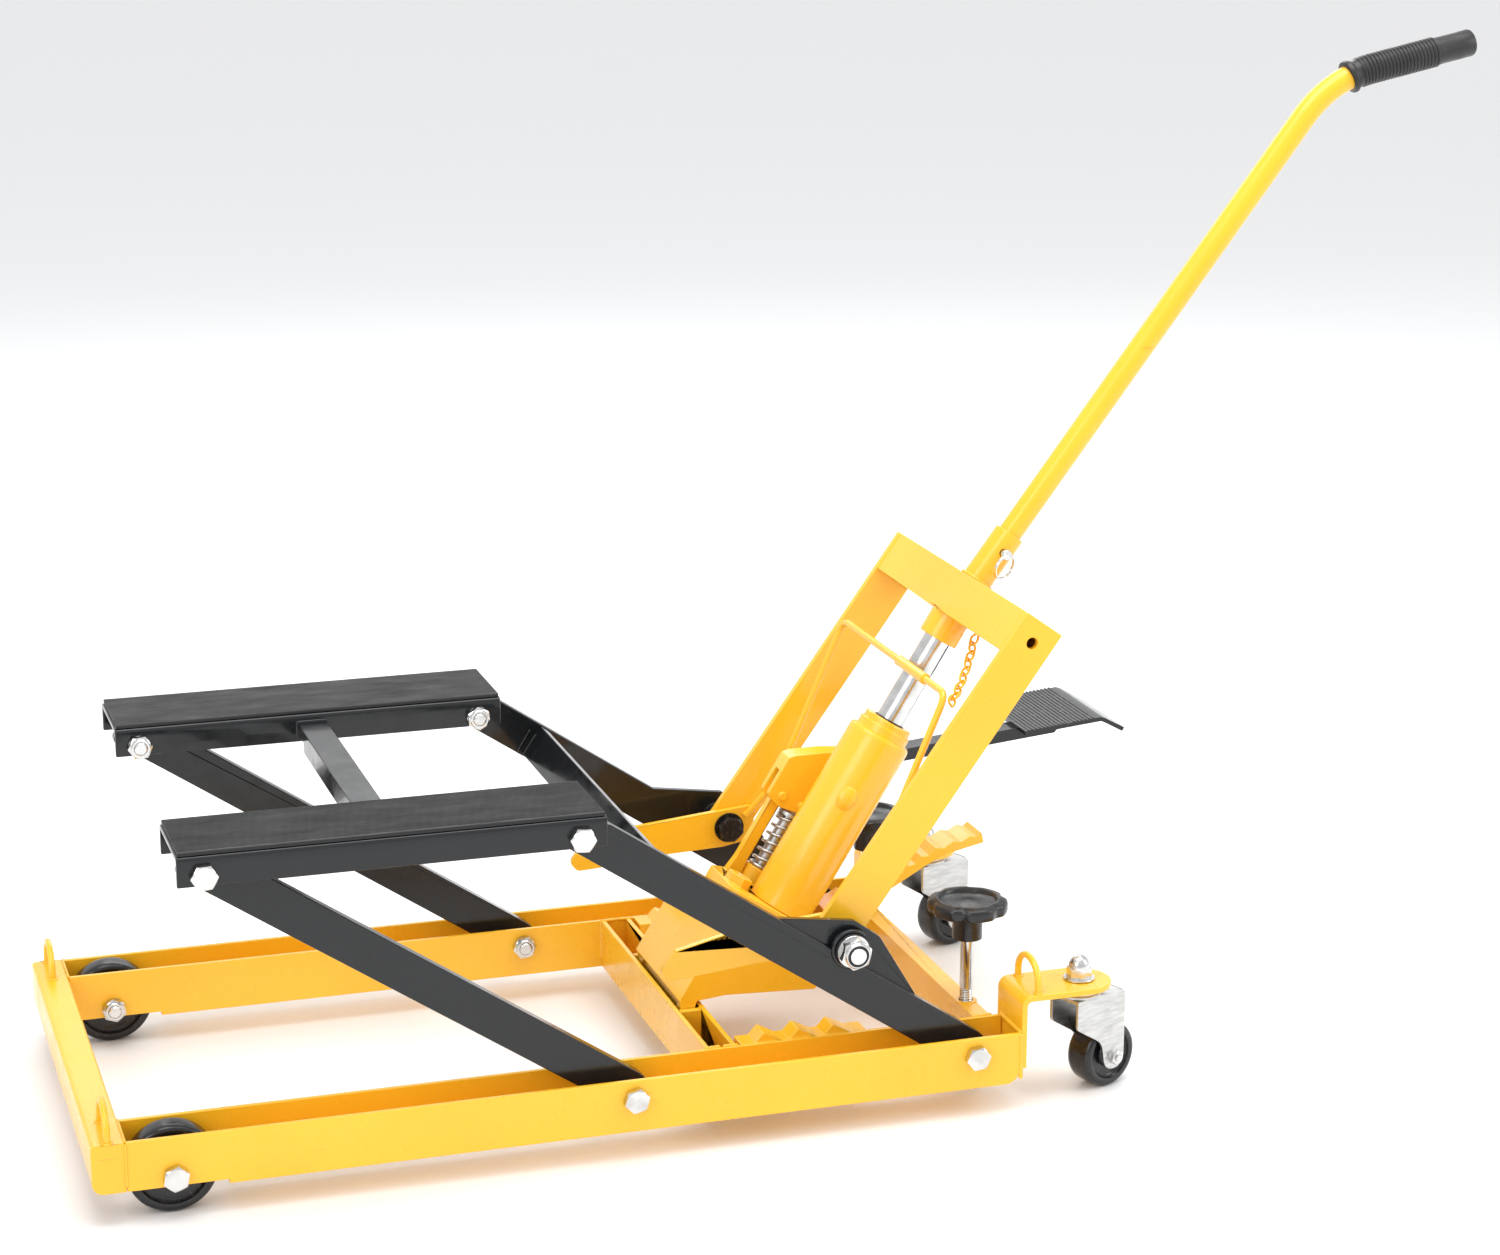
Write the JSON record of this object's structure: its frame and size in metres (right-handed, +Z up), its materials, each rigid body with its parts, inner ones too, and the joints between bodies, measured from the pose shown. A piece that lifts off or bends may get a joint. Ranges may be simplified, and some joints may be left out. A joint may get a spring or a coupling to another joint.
{
  "type": "hydraulic motorcycle lift jack",
  "caption": "Foot-pumped lift jack: U-channel base on wheels and casters, parallel arms with padded saddles, yoke with ram, safety lock and long push handle.",
  "frame": {"origin": "centre of the overall footprint, on the floor", "axes": "+X towards the push handle (rear), +Y to the far side, +Z up"},
  "size_m": [1.1474, 0.4136, 0.7901],
  "materials": {
    "black_paint": "gloss sprayed enamel",
    "blackened_steel": "oiled black oxide",
    "bright_plating": "polished, with fine wear",
    "grip_rubber": "ribbed, satin",
    "knob_plastic": "moulded, satin",
    "rubber": "ribbed, dull with polished edges",
    "wheel_plastic": "moulded, glossy",
    "yellow_paint": "semi-gloss sprayed enamel",
    "zinc_plating": "dull, lightly spangled plating"
  },
  "bodies": {
    "base": {"rail_near": "yellow_paint", "caster_bracket_near": "yellow_paint", "kingpin_near": "bright_plating", "wheel_bolt_near": "bright_plating", "front_arm_bolt_near": "bright_plating", "rear_arm_bolt_near": "bright_plating", "rail_far": "yellow_paint", "caster_bracket_far": "yellow_paint", "kingpin_far": "bright_plating", "wheel_bolt_far": "bright_plating", "front_arm_bolt_far": "bright_plating", "rear_arm_bolt_far": "bright_plating", "front_crossbar": "yellow_paint", "middle_crossbar": "yellow_paint", "rear_crossbar": "yellow_paint"},
    "front_wheel_near": {"front_wheel_near": "wheel_plastic"},
    "caster_swivel_near": {"caster_fork_near": "zinc_plating"},
    "caster_wheel_near": {"caster_wheel_near": "wheel_plastic"},
    "floor_lock_near": {"lock_screw_near": "bright_plating"},
    "knob_near": {"hand_knob_near": "knob_plastic"},
    "front_arm_near": {"front_arm_near": "black_paint"},
    "front_wheel_far": {"front_wheel_far": "wheel_plastic"},
    "caster_swivel_far": {"caster_fork_far": "zinc_plating"},
    "caster_wheel_far": {"caster_wheel_far": "wheel_plastic"},
    "floor_lock_far": {"lock_screw_far": "bright_plating"},
    "knob_far": {"hand_knob_far": "knob_plastic"},
    "front_arm_far": {"front_arm_far": "black_paint"},
    "rear_arms": {"rear_arm_near": "black_paint", "rear_arm_far": "black_paint", "arm_brace": "black_paint", "lift_bolt_near": "bright_plating", "lift_bolt_far": "bright_plating"},
    "platform": {"saddle_near": "black_paint", "saddle_far": "black_paint", "saddle_pad_near": "rubber", "saddle_pad_far": "rubber", "saddle_crossbar": "black_paint", "saddle_front_bolt_near": "bright_plating", "saddle_front_bolt_far": "bright_plating", "saddle_rear_bolt_near": "bright_plating", "saddle_rear_bolt_far": "bright_plating"},
    "ram": {"ram_cylinder": "yellow_paint", "ram_cradle": "yellow_paint", "ram_base": "yellow_paint", "pump_spring": "zinc_plating"},
    "yoke": {"yoke_leg_near": "yellow_paint", "yoke_leg_far": "yellow_paint", "yoke_crossbar": "yellow_paint", "yoke_bolt_near": "blackened_steel", "yoke_bolt_far": "blackened_steel", "handle_tube": "yellow_paint", "handle_grip": "grip_rubber", "safety_chain": "yellow_paint", "ram_rod": "bright_plating"},
    "handle_pin": {"handle_pin": "bright_plating"},
    "lock": {"lock_frame": "yellow_paint"},
    "pump_piston": {"pump_piston": "zinc_plating"},
    "pedal": {"pump_lever": "yellow_paint", "foot_pedal": "black_paint"},
    "release": {"release_pedal": "yellow_paint"}
  },
  "joints": [
    {"name": "front_wheel_spin_near", "type": "hinge", "parent": "base", "child": "front_wheel_near", "pos_m": [-0.51552, -0.168, 0.033], "axis": [0, 1, 0], "continuous": true},
    {"name": "caster_swivel_near", "type": "hinge", "parent": "base", "child": "caster_swivel_near", "pos_m": [0.18328, -0.165, 0.081], "axis": [0, 0, 1], "continuous": true},
    {"name": "caster_spin_near", "type": "hinge", "parent": "caster_swivel_near", "child": "caster_wheel_near", "pos_m": [0.20756, -0.15568, 0.026], "axis": [-0.3584, 0.9336, 0], "continuous": true},
    {"name": "floor_lock_slide_near", "type": "slide", "parent": "base", "child": "floor_lock_near", "axis": [0, 0, 1], "range_m": [-0.008, 0]},
    {"name": "knob_turn_near", "type": "hinge", "parent": "floor_lock_near", "child": "knob_near", "pos_m": [0.11108, -0.113, 0.13], "axis": [0, 0, 1], "range_deg": [0, 1440]},
    {"name": "front_arm_hinge_near", "type": "hinge", "parent": "base", "child": "front_arm_near", "pos_m": [-0.17872, -0.1675, 0.0486], "axis": [0, 1, 0], "range_deg": [-23.5, 16]},
    {"name": "front_wheel_spin_far", "type": "hinge", "parent": "base", "child": "front_wheel_far", "pos_m": [-0.51552, 0.168, 0.033], "axis": [0, 1, 0], "continuous": true},
    {"name": "caster_swivel_far", "type": "hinge", "parent": "base", "child": "caster_swivel_far", "pos_m": [0.18328, 0.165, 0.081], "axis": [0, 0, 1], "continuous": true},
    {"name": "caster_spin_far", "type": "hinge", "parent": "caster_swivel_far", "child": "caster_wheel_far", "pos_m": [0.20787, 0.17347, 0.026], "axis": [-0.3256, 0.9455, 0], "continuous": true},
    {"name": "floor_lock_slide_far", "type": "slide", "parent": "base", "child": "floor_lock_far", "axis": [0, 0, 1], "range_m": [-0.008, 0]},
    {"name": "knob_turn_far", "type": "hinge", "parent": "floor_lock_far", "child": "knob_far", "pos_m": [0.11108, 0.113, 0.13], "axis": [0, 0, 1], "range_deg": [0, 1440]},
    {"name": "front_arm_hinge_far", "type": "hinge", "parent": "base", "child": "front_arm_far", "pos_m": [-0.17872, 0.1675, 0.0486], "axis": [0, 1, 0], "range_deg": [-23.5, 16]},
    {"name": "lift", "type": "hinge", "parent": "base", "child": "rear_arms", "pos_m": [0.08978, 0, 0.0486], "axis": [0, 1, 0], "range_deg": [-23.5, 16]},
    {"name": "platform_hinge", "type": "hinge", "parent": "rear_arms", "child": "platform", "pos_m": [-0.21991, 0, 0.25702], "axis": [0, 1, 0], "range_deg": [-16, 23.5]},
    {"name": "ram_tilt", "type": "hinge", "parent": "base", "child": "ram", "pos_m": [-0.09922, 0, 0.057], "axis": [0, 1, 0], "range_deg": [-4.3, 2.9]},
    {"name": "ram_extend", "type": "slide", "parent": "ram", "child": "yoke", "axis": [0.5284, 0, 0.849], "range_m": [-0.0561, 0.0382]},
    {"name": "lock_swing", "type": "hinge", "parent": "yoke", "child": "lock", "pos_m": [-0.00622, 0, 0.14], "axis": [0, -1, 0], "range_deg": [0, 21]},
    {"name": "handle_pin_pull", "type": "slide", "parent": "yoke", "child": "handle_pin", "axis": [0, -1, 0], "range_m": [0, 0.03]},
    {"name": "pedal_press", "type": "hinge", "parent": "ram", "child": "pedal", "pos_m": [0.0103, 0.048, 0.193], "axis": [0, 1, 0], "range_deg": [0, 22], "stiffness_Nm_per_rad": 6, "springref_deg": -20.05},
    {"name": "piston_stroke", "type": "slide", "parent": "ram", "child": "pump_piston", "axis": [0.5284, 0, 0.849], "range_m": [-0.0075, 0], "deforming": ["pump_spring"]},
    {"name": "release_press", "type": "hinge", "parent": "ram", "child": "release", "pos_m": [0.03028, 0, 0.10399], "axis": [0, 1, 0], "range_deg": [0, 12], "stiffness_Nm_per_rad": 3, "springref_deg": -17.19}
  ],
  "couplings": [
    {"joint": "front_arm_hinge_near", "follows": "lift", "ratio": 1},
    {"joint": "floor_lock_slide_near", "follows": "knob_turn_near", "m_per_rad": -0.00031831},
    {"joint": "front_arm_hinge_far", "follows": "lift", "ratio": 1},
    {"joint": "floor_lock_slide_far", "follows": "knob_turn_far", "m_per_rad": -0.00031831},
    {"joint": "platform_hinge", "follows": "lift", "ratio": -1},
    {"joint": "ram_tilt", "follows": "lift", "ratio": 0.1788},
    {"joint": "ram_extend", "follows": "lift", "m_per_rad": 0.1365},
    {"joint": "piston_stroke", "follows": "pedal_press", "m_per_rad": -0.019}
  ]
}
